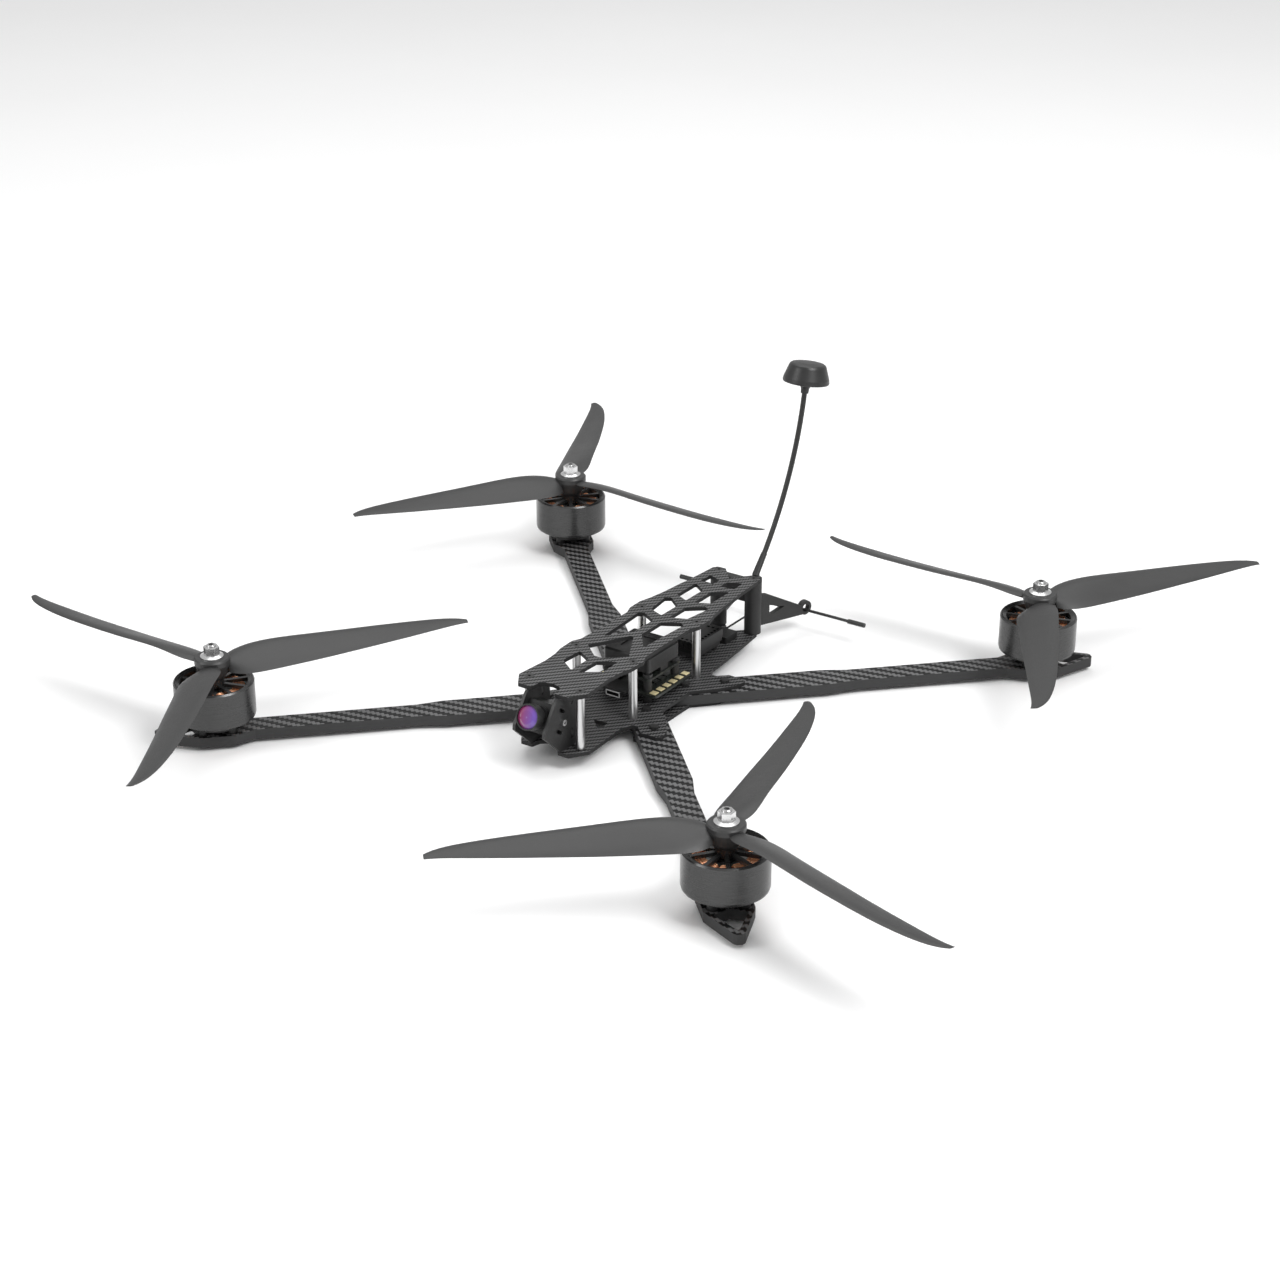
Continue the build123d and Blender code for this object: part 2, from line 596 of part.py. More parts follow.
with BuildPart() as stack_cover:
    # The moulded cover over the flight controller, on a leg at the middle of each side.
    with BuildSketch(Plane.XY.offset(fc_bottom + board)):
        with Locations((stack_x, 0)):
            with PolarLocations(16.0, 4):
                Rectangle(3.0, 8.0)
    extrude(amount=cover_bottom - fc_bottom - board)
    with BuildSketch(Plane.XY.offset(cover_bottom)):
        with Locations((stack_x, 0)):
            RectangleRounded(35.0, 35.0, 2.5)
    extrude(amount=cover_top - cover_bottom)
    chamfer(stack_cover.faces().sort_by(Axis.Z)[-1].edges(), 1.0)
    with BuildSketch(Plane.XY.offset(cover_top)):
        with Locations((stack_x, 0)):
            RectangleRounded(20.0, 20.0, 2.0)
    extrude(amount=-0.8, mode=Mode.SUBTRACT)
stack_cover.part.label = "stack_cover"
export_step(stack_cover.part, "parts/stack_cover.step")

socket_bottom = deck + 5.8
socket_front = 27.2

with BuildPart() as front_socket:
    # A small board on the speed controller's front edge, with a plug socket under it.
    with BuildSketch(Plane.XY.offset(esc_bottom + board)):
        with Locations((15.3, 0)):
            Rectangle(2.4, 16.0)
    extrude(amount=socket_bottom + 3.6 - esc_bottom - board)
    with BuildSketch(Plane.XY.offset(socket_bottom + 3.6)):
        with Locations((20.5, 0)):
            RectangleRounded(12.8, 17.0, 0.8)
    extrude(amount=1.4)
    with BuildSketch(Plane.XY.offset(socket_bottom)):
        with Locations((socket_front - 3.8, 0)):
            Rectangle(7.6, 10.6)
    extrude(amount=3.6)
    with BuildSketch(Plane.YZ.offset(socket_front)):
        with Locations((0, socket_bottom + 1.8)):
            Rectangle(8.8, 2.2)
    extrude(amount=-5.0, mode=Mode.SUBTRACT)
front_socket.part.label = "front_socket"
export_step(front_socket.part, "parts/front_socket.step")

# ---- video transmitter and receiver -------------------------------------------------------
vtx_x = -67.0
vtx_split = deck + 6.5              # where the transmitter meets its heatsink
vtx_depth = 3.0
heatsink_length = 31.0
heatsink_width = 23.0
heatsink_base = 2.5
fin_height = 5.5
fin_pitch = 3.6
fin_width = 1.4

with BuildPart() as video_transmitter:
    # A thin unit under its heatsink, held above the mid plate on four posts.
    with BuildSketch(Plane.XY.offset(vtx_split - vtx_depth)):
        with Locations((vtx_x, 0)):
            RectangleRounded(heatsink_length - 2, heatsink_width - 2, 1.5)
    extrude(amount=vtx_depth)
    with BuildSketch(Plane.XY.offset(deck)):
        with Locations((vtx_x, 0)):
            with GridLocations(22.0, 15.0, 2, 2):
                Circle(2.0)
    extrude(amount=vtx_split - vtx_depth - deck)
video_transmitter.part.label = "video_transmitter"
export_step(video_transmitter.part, "parts/video_transmitter.step")

with BuildPart() as vtx_heatsink:
    # A block with a comb of fins along each of its four edges.
    with BuildSketch(Plane.XY.offset(vtx_split)):
        with Locations((vtx_x, 0)):
            RectangleRounded(heatsink_length, heatsink_width, 1.5)
    extrude(amount=heatsink_base)
    with BuildSketch(Plane.XY.offset(vtx_split + heatsink_base)):
        with Locations((vtx_x, 0)):
            with GridLocations(fin_pitch, 1, 9, 1):
                Rectangle(fin_width, heatsink_width)
            with GridLocations(1, fin_pitch, 1, 7):
                Rectangle(heatsink_length, fin_width)
            Rectangle(heatsink_length - 7, heatsink_width - 7)
    extrude(amount=fin_height)
vtx_heatsink.part.label = "vtx_heatsink"
export_step(vtx_heatsink.part, "parts/vtx_heatsink.step")

receiver_x = -96.0
receiver_length = 14.0

with BuildPart() as receiver:
    with BuildSketch(Plane.XY.offset(deck)):
        with Locations((receiver_x, 0)):
            RectangleRounded(receiver_length, 20.0, 1.0)
    extrude(amount=4.5)
receiver.part.label = "receiver"
export_step(receiver.part, "parts/receiver.step")

# ---- antennas and their printed holder ----------------------------------------------------
post_x = -116.0
post_y = 13.5
post_radius = 5.6
ring_x = -161.0
ring_y = 26.5
rod_z = 14.7
rod_radius = 1.0
ring_hole = 2.9
ring_z = rod_z + ring_hole - rod_radius - 0.1
ring_radius = 5.0
prong_half = 1.7
foot_spot = (-123.0, 11.0)          # the video antenna's foot, just behind the top plate
foot_radius = 2.5
foot_bottom = roof - 12.0

with BuildPart() as antenna_mount:
    with BuildSketch(Plane.XY.offset(deck)):
        with Locations((post_x, post_y), (post_x, -post_y)):
            Circle(post_radius)
    extrude(amount=standoff_height)
    with BuildSketch(Plane.XY.offset(roof - 15.0)):
        with Locations((post_x - 1.0, 0)):
            Rectangle(6.0, 2 * post_y)
    extrude(amount=15.0)
    with BuildSketch(Plane.XY.offset(roof - 15.0)):
        with Locations(foot_spot):
            Circle(4.2)
    extrude(amount=14.6)
    for y_sign in (1, -1):
        reach = math.hypot(ring_x - post_x, ring_y - post_y)
        along = Vector(ring_x - post_x, y_sign * (ring_y - post_y), 0).normalized()
        across = along.cross(Vector(0, 0, 1))
        prong_plane = Plane((post_x, y_sign * post_y, 0), x_dir=along, z_dir=across)
        with BuildSketch(prong_plane):
            with BuildLine():
                Polyline((1.0, 38.5), (8.0, 37.0), (12.0, 36.0), (reach - 4, ring_z + 2.6),
                         (reach, ring_z), (reach, ring_z - ring_radius + 0.6),
                         (1.0, 15.5), close=True)
            make_face()
            with BuildLine():
                Polyline((13.5, 27.8), (13.5, 21.6), (16.0, 20.4),
                         (27.0, 23.2), close=True)
            make_face(mode=Mode.SUBTRACT)
            with Locations((reach, ring_z)):
                Circle(ring_radius)
        extrude(amount=prong_half, both=True)
        with BuildSketch(prong_plane):
            with Locations((reach, ring_z)):
                Circle(ring_hole)
        extrude(amount=5, both=True, mode=Mode.SUBTRACT)
    with BuildSketch(Plane.XY.offset(deck)):
        with Locations((post_x, post_y), (post_x, -post_y)):
            Circle(2.75 + running_gap)
    extrude(amount=standoff_height, mode=Mode.SUBTRACT)
    with BuildSketch(Plane.XY.offset(foot_bottom)):
        with Locations(foot_spot):
            Circle(foot_radius + running_gap)
    extrude(amount=20, mode=Mode.SUBTRACT)
antenna_mount.part.label = "antenna_mount"
export_step(antenna_mount.part, "parts/antenna_mount.step")

with BuildPart() as t_antenna:
    with BuildSketch(Plane.XZ):
        with Locations((ring_x, rod_z)):
            Circle(rod_radius)
    extrude(amount=73.0, both=True)
    for y_sign in (1, -1):
        with BuildSketch(Plane.XZ.offset(y_sign * 61.0)):
            with Locations((ring_x, rod_z)):
                Circle(1.6)
        extrude(amount=y_sign * 12.5)
    with Locations((ring_x, 0, rod_z)):
        Box(5.0, 16.0, 3.6)
t_antenna.part.label = "t_antenna"
export_step(t_antenna.part, "parts/t_antenna.step")

with BuildPart() as antenna_lead:
    # The thin coaxial lead runs straight from the receiver to the middle of the T antenna.
    with BuildLine() as lead_line:
        Line((receiver_x - receiver_length / 2, 0, rod_z), (ring_x + 2.5, 0, rod_z))
    with BuildSketch(lead_line.line ^ 0):
        Circle(0.65)
    sweep()
antenna_lead.part.label = "antenna_lead"
export_step(antenna_lead.part, "parts/antenna_lead.step")

# The video antenna stands in the holder's socket, then leans back and curves up to its cap.
stalk_start = Vector(*foot_spot, roof_top)
stalk_end = Vector(-176.0, 13.0, 162.0)
with BuildPart() as antenna_stalk:
    with BuildLine() as stalk_line:
        ThreePointArc(stalk_start, (-154.2, 12.0, 96.2), stalk_end)
    with BuildSketch(stalk_line.line ^ 0):
        Circle(1.75)
    sweep()
    with BuildSketch(Plane(stalk_start)):
        Circle(foot_radius)
    with BuildSketch(stalk_line.line ^ 0.12):
        Circle(2.0)
    loft()
    with BuildSketch(Plane.XY.offset(foot_bottom)):
        with Locations(foot_spot):
            Circle(foot_radius)
    extrude(amount=roof_top - foot_bottom)
antenna_stalk.part.label = "antenna_stalk"
export_step(antenna_stalk.part, "parts/antenna_stalk.step")

cap_axis = (stalk_line.line % 1).normalized()
cap_side = cap_axis.cross(Vector(0, -1, 0)).normalized()
cap_plane = Plane(stalk_end, x_dir=cap_side, z_dir=cap_side.cross(cap_axis))

with BuildPart() as antenna_cap:
    with BuildSketch(cap_plane):
        with BuildLine():
            Polyline((0, 0.02), (2.6, 0.02), (2.8, 3.0), (4.6, 7.0), (14.4, 7.0), (15.3, 7.3),
                     (15.6, 8.2), (15.2, 10.4), (12.6, 18.0), (12.0, 19.2), (10.8, 20.0),
                     (6.0, 20.7), (0, 21.0), close=True)
        make_face()
    revolve(axis=Axis(stalk_end, cap_axis))
antenna_cap.part.label = "antenna_cap"
export_step(antenna_cap.part, "parts/antenna_cap.step")
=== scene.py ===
import json
import math

import bmesh
import bpy
from mathutils import Matrix, Vector


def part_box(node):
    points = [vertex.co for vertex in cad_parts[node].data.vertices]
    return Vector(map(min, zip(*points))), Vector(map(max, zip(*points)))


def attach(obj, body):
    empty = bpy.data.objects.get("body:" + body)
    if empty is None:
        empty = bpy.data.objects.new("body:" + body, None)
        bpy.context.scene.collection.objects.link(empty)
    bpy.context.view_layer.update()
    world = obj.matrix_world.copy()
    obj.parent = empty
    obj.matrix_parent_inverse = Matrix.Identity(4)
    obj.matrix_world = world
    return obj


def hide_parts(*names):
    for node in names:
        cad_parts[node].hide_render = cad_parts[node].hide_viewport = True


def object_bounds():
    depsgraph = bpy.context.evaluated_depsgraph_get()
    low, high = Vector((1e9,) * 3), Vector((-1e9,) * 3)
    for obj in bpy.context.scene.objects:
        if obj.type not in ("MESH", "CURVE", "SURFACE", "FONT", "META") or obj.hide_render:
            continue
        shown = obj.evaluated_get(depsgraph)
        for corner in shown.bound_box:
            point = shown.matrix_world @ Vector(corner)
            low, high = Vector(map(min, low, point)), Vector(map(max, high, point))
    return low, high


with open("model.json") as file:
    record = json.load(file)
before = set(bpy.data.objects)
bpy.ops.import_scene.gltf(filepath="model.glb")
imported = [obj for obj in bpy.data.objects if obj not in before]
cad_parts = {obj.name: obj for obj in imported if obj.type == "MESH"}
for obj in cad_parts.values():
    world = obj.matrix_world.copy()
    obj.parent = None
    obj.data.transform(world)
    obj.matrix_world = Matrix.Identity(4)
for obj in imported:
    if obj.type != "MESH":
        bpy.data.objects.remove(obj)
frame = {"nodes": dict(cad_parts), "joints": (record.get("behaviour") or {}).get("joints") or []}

cad_low, cad_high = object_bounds()

nodes = frame["nodes"]
places = ("front_left", "rear_left", "rear_right", "front_right")
rotor_joint = "rotor_spin_"
centres = {}
for joint in frame["joints"]:
    if joint["name"].startswith(rotor_joint):
        centres[joint["name"][len(rotor_joint):]] = Vector(joint["pos_m"][:2])

motor_x, motor_y = abs(centres["front_left"].x), abs(centres["front_left"].y)
rim_highlight_reach = 0.0195              # a bell's painted rim highlight lies outside this radius
board_thickness = 0.0016


# ---- node helpers ------------------------------------------------------------------------
def new_material(name):
    material = bpy.data.materials.new(name)
    material.use_nodes = True
    tree = material.node_tree
    return material, tree, tree.nodes["Principled BSDF"]


def add_node(tree, kind, **settings):
    node = tree.nodes.new(kind)
    for key, value in settings.items():
        setattr(node, key, value)
    return node


def plug(tree, socket, value):
    """Link a socket to another, or set it to a number or colour."""
    if isinstance(value, bpy.types.NodeSocket):
        tree.links.new(value, socket)
    else:
        socket.default_value = value


def math_node(tree, operation, *values):
    node = add_node(tree, "ShaderNodeMath", operation=operation)
    for socket, value in zip(node.inputs, values):
        plug(tree, socket, value)
    return node.outputs[0]


def noise(tree, vector, scale, detail=4.0, roughness=0.55):
    node = add_node(tree, "ShaderNodeTexNoise")
    plug(tree, node.inputs["Vector"], vector)
    plug(tree, node.inputs["Scale"], scale)
    plug(tree, node.inputs["Detail"], detail)
    plug(tree, node.inputs["Roughness"], roughness)
    return node.outputs["Fac"]


def spread(tree, value, low, high, out_low, out_high):
    """Map value from low..high to out_low..out_high, and hold it at both ends."""
    node = add_node(tree, "ShaderNodeMapRange")
    for socket, item in zip(node.inputs, (value, low, high, out_low, out_high)):
        plug(tree, socket, item)
    return node.outputs["Result"]


def mix(tree, factor, first, second):
    node = add_node(tree, "ShaderNodeMix", data_type="RGBA")
    plug(tree, node.inputs["Factor"], factor)
    plug(tree, node.inputs["A"], first)
    plug(tree, node.inputs["B"], second)
    return node.outputs["Result"]


def mix_number(tree, factor, first, second):
    node = add_node(tree, "ShaderNodeMix", data_type="FLOAT")
    plug(tree, node.inputs[0], factor)
    plug(tree, node.inputs[2], first)
    plug(tree, node.inputs[3], second)
    return node.outputs[0]


def bump(tree, shader, height, distance, strength=1.0):
    node = add_node(tree, "ShaderNodeBump")
    plug(tree, node.inputs["Height"], height)
    plug(tree, node.inputs["Distance"], distance)
    plug(tree, node.inputs["Strength"], strength)
    tree.links.new(node.outputs["Normal"], shader.inputs["Normal"])


def grey(value):
    """A neutral colour, a trace towards blue."""
    return (value, value, value * 1.01, 1.0)


def stretched(tree, vector, factors, angle=0.0):
    """Turn the vector about Z by angle and multiply it by the three factors."""
    node = add_node(tree, "ShaderNodeMapping")
    plug(tree, node.inputs["Vector"], vector)
    node.inputs["Rotation"].default_value = (0, 0, angle)
    node.inputs["Scale"].default_value = factors
    return node.outputs["Vector"]


# ---- materials ---------------------------------------------------------------------------
def carbon(name, tow, fibre_angle, light, dark, side):
    """Twill carbon laminate: woven on its faces, fine ply lines on its cut edges."""
    twill_repeat = 4.0
    ply_pitch = 0.0005
    material, tree, shader = new_material(name)
    coords = add_node(tree, "ShaderNodeTexCoord")
    place = coords.outputs["Object"]
    wander = math_node(tree, "MULTIPLY", noise(tree, place, 90.0, 2.0), 0.35)
    turned = stretched(tree, place, (1 / tow, 1 / tow, 1 / tow), math.radians(-fibre_angle))
    parts = add_node(tree, "ShaderNodeSeparateXYZ")
    tree.links.new(turned, parts.inputs[0])
    across = math_node(tree, "ADD", parts.outputs[0], wander)
    along = math_node(tree, "ADD", parts.outputs[1], wander)
    steps = math_node(tree, "ADD", math_node(tree, "FLOOR", across),
                      math_node(tree, "FLOOR", along))
    turn = math_node(tree, "FRACT", math_node(tree, "DIVIDE", steps, twill_repeat))
    over = math_node(tree, "LESS_THAN", turn, 0.49)

    def crown(value):
        """Height of a tow across its width, from 0 at its edges to 1 in its middle."""
        offset = math_node(tree, "SUBTRACT", math_node(tree, "FRACT", value), 0.5)
        return math_node(tree, "SUBTRACT", 1.0, math_node(tree, "MULTIPLY", 4.0,
                         math_node(tree, "MULTIPLY", offset, offset)))

    height = mix_number(tree, over, crown(along), crown(across))
    fibres = mix_number(tree, over,
                        noise(tree, stretched(tree, turned, (0.6, 14.0, 1.0)), 1.0, 3.0),
                        noise(tree, stretched(tree, turned, (14.0, 0.6, 1.0)), 1.0, 3.0))
    cloudy = noise(tree, place, 28.0, 3.0)
    shade = mix(tree, over, grey(dark), grey(light))
    # Painted shade: the grooves between tows, where the crown is low, are darkened towards dark *
    # 0.45.
    shade = mix(tree, spread(tree, height, 0.0, 0.55, 0.55, 0.0), shade, grey(dark * 0.45))
    shade = mix(tree, spread(tree, fibres, 0.45, 0.8, 0.0, 0.12), shade, grey(light * 0.8))
    shade = mix(tree, spread(tree, cloudy, 0.35, 0.7, 0.0, 0.18), shade, grey(dark))
    plies = add_node(tree, "ShaderNodeSeparateXYZ")
    tree.links.new(place, plies.inputs[0])
    ply = math_node(tree, "SINE",
                    math_node(tree, "MULTIPLY", plies.outputs[2], 2 * math.pi / ply_pitch))
    edge_fibre = noise(tree, stretched(tree, place, (60.0, 60.0, 900.0)), 1.0, 4.0)
    edge = mix(tree, spread(tree, ply, -1.0, 1.0, 0.0, 0.25), grey(side), grey(side * 0.72))
    edge = mix(tree, spread(tree, edge_fibre, 0.4, 0.7, 0.0, 0.3), edge, grey(side * 1.3))
    facing = add_node(tree, "ShaderNodeSeparateXYZ")
    tree.links.new(coords.outputs["Normal"], facing.inputs[0])
    is_face = math_node(tree, "GREATER_THAN", math_node(tree, "ABSOLUTE", facing.outputs[2]), 0.7)
    tree.links.new(mix(tree, is_face, edge, shade), shader.inputs["Base Color"])
    weave_rough = spread(tree, math_node(tree, "ADD", fibres, cloudy), 0.7, 1.4, 0.34, 0.5)
    plug(tree, shader.inputs["Roughness"], mix_number(tree, is_face, 0.62, weave_rough))
    shader.inputs["Specular IOR Level"].default_value = 0.18
    bump(tree, shader, math_node(tree, "MULTIPLY", height, is_face), 0.00012, 0.7)
    return material


def plastic(name, shade, roughness, grain=900.0, depth=0.00003, tint=(1.0, 1.0, 1.0)):
    """Moulded plastic or rubber: fine grain, slight clouding and scuffs."""
    material, tree, shader = new_material(name)
    place = add_node(tree, "ShaderNodeTexCoord").outputs["Object"]
    fine = noise(tree, place, grain, 3.0)
    cloud = noise(tree, place, 35.0, 4.0)
    base = [shade * t for t in tint] + [1.0]
    lifted = [min(1.0, c * 1.3 + 0.004) for c in base[:3]] + [1.0]
    scuffs = noise(tree, stretched(tree, place, (60.0, 420.0, 200.0), 0.6), 1.0, 6.0, 0.7)
    shade_out = mix(tree, spread(tree, cloud, 0.35, 0.7, 0.0, 0.55), base, lifted)
    shade_out = mix(tree, spread(tree, scuffs, 0.62, 0.8, 0.0, 0.3), shade_out, lifted)
    tree.links.new(shade_out, shader.inputs["Base Color"])
    plug(tree, shader.inputs["Roughness"],
         spread(tree, math_node(tree, "ADD", fine, cloud), 0.7, 1.35, roughness - 0.07,
                roughness + 0.08))
    bump(tree, shader, fine, depth, 0.6)
    return material


def metal(name, shade, roughness, metallic=1.0, tint=(1.0, 1.0, 1.0), lines=(90.0, 90.0, 4500.0),
          rim_highlight_above=None, wear=1.0):
    """Turned or anodised metal: rings from the lathe, small marks and, above the given height,
    a painted highlight: a bright rim round each motor's axis."""
    material, tree, shader = new_material(name)
    place = add_node(tree, "ShaderNodeTexCoord").outputs["Object"]
    turning = noise(tree, stretched(tree, place, lines), 1.0, 3.0)
    cloud = noise(tree, place, 60.0, 4.0)
    marks = noise(tree, stretched(tree, place, (300.0, 900.0, 500.0), 0.4), 1.0, 6.0, 0.7)
    base = [shade * t for t in tint] + [1.0]
    light = [min(1.0, c * 1.35 + 0.01) for c in base[:3]] + [1.0]
    colour = mix(tree, spread(tree, turning, 0.35, 0.7, 0.0, 0.45 * wear), base, light)
    colour = mix(tree, spread(tree, marks, 0.66, 0.82, 0.0, 0.35 * wear), colour, light)
    # Painted highlight: above the given height and away from each motor's axis, the rim is
    # lightened.
    if rim_highlight_above is not None:
        parts = add_node(tree, "ShaderNodeSeparateXYZ")
        tree.links.new(place, parts.inputs[0])
        rim = spread(tree, math_node(tree, "ADD", parts.outputs[2],
                                     math_node(tree, "MULTIPLY", cloud, 0.0002)),
                     rim_highlight_above, rim_highlight_above + 0.0003, 0.0, 0.75)
        from_axis = []
        for output, offset in ((parts.outputs[0], motor_x), (parts.outputs[1], motor_y)):
            gap = math_node(tree, "SUBTRACT", math_node(tree, "ABSOLUTE", output), offset)
            from_axis.append(math_node(tree, "MULTIPLY", gap, gap))
        reach = math_node(tree, "SQRT", math_node(tree, "ADD", *from_axis))
        rim = math_node(tree, "MULTIPLY", rim, math_node(tree, "GREATER_THAN", reach, rim_highlight_reach))
        # grey 0.62 is the painted highlight colour of the bell's rim
        colour = mix(tree, rim, colour, grey(0.62))
    tree.links.new(colour, shader.inputs["Base Color"])
    shader.inputs["Metallic"].default_value = metallic
    plug(tree, shader.inputs["Roughness"],
         spread(tree, math_node(tree, "ADD", turning, cloud), 0.7, 1.35, roughness - 0.06 * wear,
                roughness + 0.08 * wear))
    bump(tree, shader, turning, 0.000006, 0.35 * wear)
    return material


def board_finish(name):
    """Dark solder mask over faint copper tracks."""
    mask, track, dust = (0.006, 0.007, 0.006, 1), (0.014, 0.017, 0.014, 1), (0.10, 0.09, 0.06, 1)
    material, tree, shader = new_material(name)
    place = add_node(tree, "ShaderNodeTexCoord").outputs["Object"]
    cells = add_node(tree, "ShaderNodeTexVoronoi", distance="CHEBYCHEV", feature="F1")
    tree.links.new(place, cells.inputs["Vector"])
    cells.inputs["Scale"].default_value = 420.0
    tracks = spread(tree, cells.outputs["Distance"], 0.36, 0.42, 0.0, 1.0)
    dirt = noise(tree, place, 200.0, 4.0)
    colour = mix(tree, tracks, mask, track)
    colour = mix(tree, spread(tree, dirt, 0.64, 0.72, 0.0, 0.35), colour, dust)
    tree.links.new(colour, shader.inputs["Base Color"])
    plug(tree, shader.inputs["Roughness"], spread(tree, dirt, 0.3, 0.7, 0.28, 0.5))
    bump(tree, shader, tracks, 0.00003, 0.6)
    return material


def lens_coating(name):
    """Coated front glass: red-violet to blue-violet across it, with a painted highlight spot in
    its middle and a black rim."""
    red_violet, blue_violet = (0.22, 0.030, 0.105, 1), (0.13, 0.060, 0.34, 1)
    # spot is a painted highlight in the middle of the glass
    painted_highlight_spot, rim = (0.55, 0.50, 0.80, 1), (0.012, 0.008, 0.014, 1)
    material, tree, shader = new_material(name)
    low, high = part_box("camera_glass")
    middle = (low + high) / 2
    place = add_node(tree, "ShaderNodeTexCoord").outputs["Object"]
    away = add_node(tree, "ShaderNodeVectorMath", operation="DISTANCE")
    tree.links.new(place, away.inputs[0])
    away.inputs[1].default_value = middle
    haze = noise(tree, place, 260.0, 3.0)
    reach = math_node(tree, "ADD", away.outputs["Value"],
                      math_node(tree, "MULTIPLY", math_node(tree, "SUBTRACT", haze, 0.5), 0.0014))
    parts = add_node(tree, "ShaderNodeSeparateXYZ")
    tree.links.new(place, parts.inputs[0])
    bloom = mix(tree, spread(tree, parts.outputs[1], -0.0045, 0.0045, 0.0, 1.0), red_violet,
                blue_violet)
    colour = mix(tree, spread(tree, reach, 0.0006, 0.0022, 0.0, 1.0), painted_highlight_spot, bloom)
    colour = mix(tree, spread(tree, reach, 0.0066, 0.0080, 0.0, 1.0), colour, rim)
    tree.links.new(colour, shader.inputs["Base Color"])
    plug(tree, shader.inputs["Roughness"], spread(tree, haze, 0.3, 0.7, 0.05, 0.12))
    shader.inputs["Coat Weight"].default_value = 0.6
    shader.inputs["Coat Roughness"].default_value = 0.03
    return material


# The painted rim highlight on the bells starts this far below a bell's top.
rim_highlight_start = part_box("bell_front_left")[1].z - 0.0007
finishes = {
    "carbon_arm": carbon("carbon_arm", tow=0.0024, fibre_angle=146.0, light=0.135, dark=0.005,
                         side=0.042),
    "carbon_plate": carbon("carbon_plate", tow=0.0014, fibre_angle=183.0, light=0.120, dark=0.004,
                           side=0.022),
    "propeller": plastic("propeller_plastic", 0.024, 0.44, grain=1300.0),
    "cage": plastic("cage_plate", 0.014, 0.46),
    "black_plastic": plastic("black_plastic", 0.010, 0.42),
    "printed": metal("printed_holder", 0.012, 0.55, 0.0, lines=(30.0, 30.0, 3300.0)),
    "antenna": plastic("antenna_plastic", 0.013, 0.42),
    "rubber": plastic("grommet_rubber", 0.014, 0.65),
    "black_steel": metal("black_screw", 0.045, 0.38, 0.6, lines=(900.0, 900.0, 900.0)),
    "silver": metal("silver_aluminium", 0.60, 0.30, lines=(40.0, 40.0, 1500.0), wear=0.2),
    "nut": metal("bright_nut", 0.66, 0.26, lines=(40.0, 40.0, 1400.0), wear=0.2),
    "steel": metal("shaft_steel", 0.55, 0.26, wear=0.3),
    "shell": metal("motor_shell", 0.058, 0.28, 0.7, rim_highlight_above=rim_highlight_start),
    "motor_base": metal("motor_base", 0.016, 0.40, 0.5),
    "lamination": metal("lamination", 0.30, 0.42, 0.9, lines=(80.0, 80.0, 2900.0)),
    "copper": metal("copper_wire", 1.0, 0.36, 0.7, tint=(1.0, 0.50, 0.29),
                    lines=(900.0, 900.0, 900.0)),
    "heatsink": metal("heatsink_black", 0.014, 0.40, 0.5, lines=(900.0, 60.0, 60.0)),
    "gold": metal("gold_pad", 0.95, 0.36, 0.6, tint=(1.0, 0.84, 0.48),
                  lines=(900.0, 900.0, 900.0)),
    "board": board_finish("circuit_board"),
    "glass": lens_coating("lens_glass"),
    "chip": plastic("chip_black", 0.028, 0.38, grain=2200.0, depth=0.00001),
    "ceramic": plastic("ceramic_part", 0.42, 0.45, grain=1800.0, depth=0.00001,
                       tint=(1.0, 0.93, 0.80)),
    "green_part": plastic("green_part", 0.17, 0.42, grain=1800.0, depth=0.00001,
                          tint=(0.45, 1.0, 0.42)),
    "pale_plastic": plastic("pale_plastic", 0.50, 0.42, grain=1500.0, depth=0.00001),
}

finish_of = {
    "bottom_plate": "carbon_plate", "mid_plate": "carbon_plate", "top_plate": "carbon_plate",
    "arm_bolts": "black_steel", "standoff_screws": "black_steel", "motor_screws": "black_steel",
    "stack_screws": "black_steel", "camera_screws": "steel", "stack_cover": "black_plastic",
    "standoffs": "silver", "motor_bearings": "steel", "camera_body": "black_plastic",
    "camera_lens": "black_plastic", "camera_glass": "glass", "camera_plate_left": "cage",
    "camera_plate_right": "cage", "esc_board": "board", "flight_controller": "board",
    "stack_spacers": "rubber", "front_socket": "black_plastic", "receiver": "black_plastic",
    "video_transmitter": "black_plastic", "vtx_heatsink": "heatsink",
    "antenna_lead": "rubber", "antenna_mount": "printed", "t_antenna": "antenna",
    "antenna_stalk": "antenna", "antenna_cap": "antenna",
}
for place in places:
    finish_of.update({
        f"arm_{place}": "carbon_arm", f"bell_{place}": "shell", f"shaft_{place}": "steel",
        f"prop_nut_{place}": "nut", f"propeller_{place}": "propeller",
        f"motor_base_{place}": "motor_base", f"stator_{place}": "lamination",
        f"windings_{place}": "copper",
    })
for name, finish in finish_of.items():
    slots = nodes[name].material_slots
    if not slots:
        nodes[name].data.materials.append(finishes[finish])
    for material_slot in slots:
        material_slot.material = finishes[finish]


# ---- added pieces ------------------------------------------------------------------------
def make_piece(name, mesh, finish, body):
    for polygon in mesh.polygons:
        polygon.use_smooth = True
    piece = bpy.data.objects.new(name, mesh)
    bpy.context.scene.collection.objects.link(piece)
    mesh.materials.append(finishes[finish])
    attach(piece, body)
    return piece


def tube_loop(vertices, faces, path, radius, sides=6):
    """Add one closed round wire that follows path."""
    start = len(vertices)
    count = len(path)
    middle = sum(path, Vector()) / count
    for k, point in enumerate(path):
        tangent = (path[(k + 1) % count] - path[k - 1]).normalized()
        outward = point - middle
        outward = (outward - tangent * outward.dot(tangent)).normalized()
        side = tangent.cross(outward)
        for s in range(sides):
            a = 2 * math.pi * s / sides
            vertices.append(point + (outward * math.cos(a) + side * math.sin(a)) * radius)
    for k in range(count):
        for s in range(sides):
            a = start + k * sides + s
            b = start + k * sides + (s + 1) % sides
            c = start + ((k + 1) % count) * sides + (s + 1) % sides
            d = start + ((k + 1) % count) * sides + s
            faces.append((a, b, c, d))


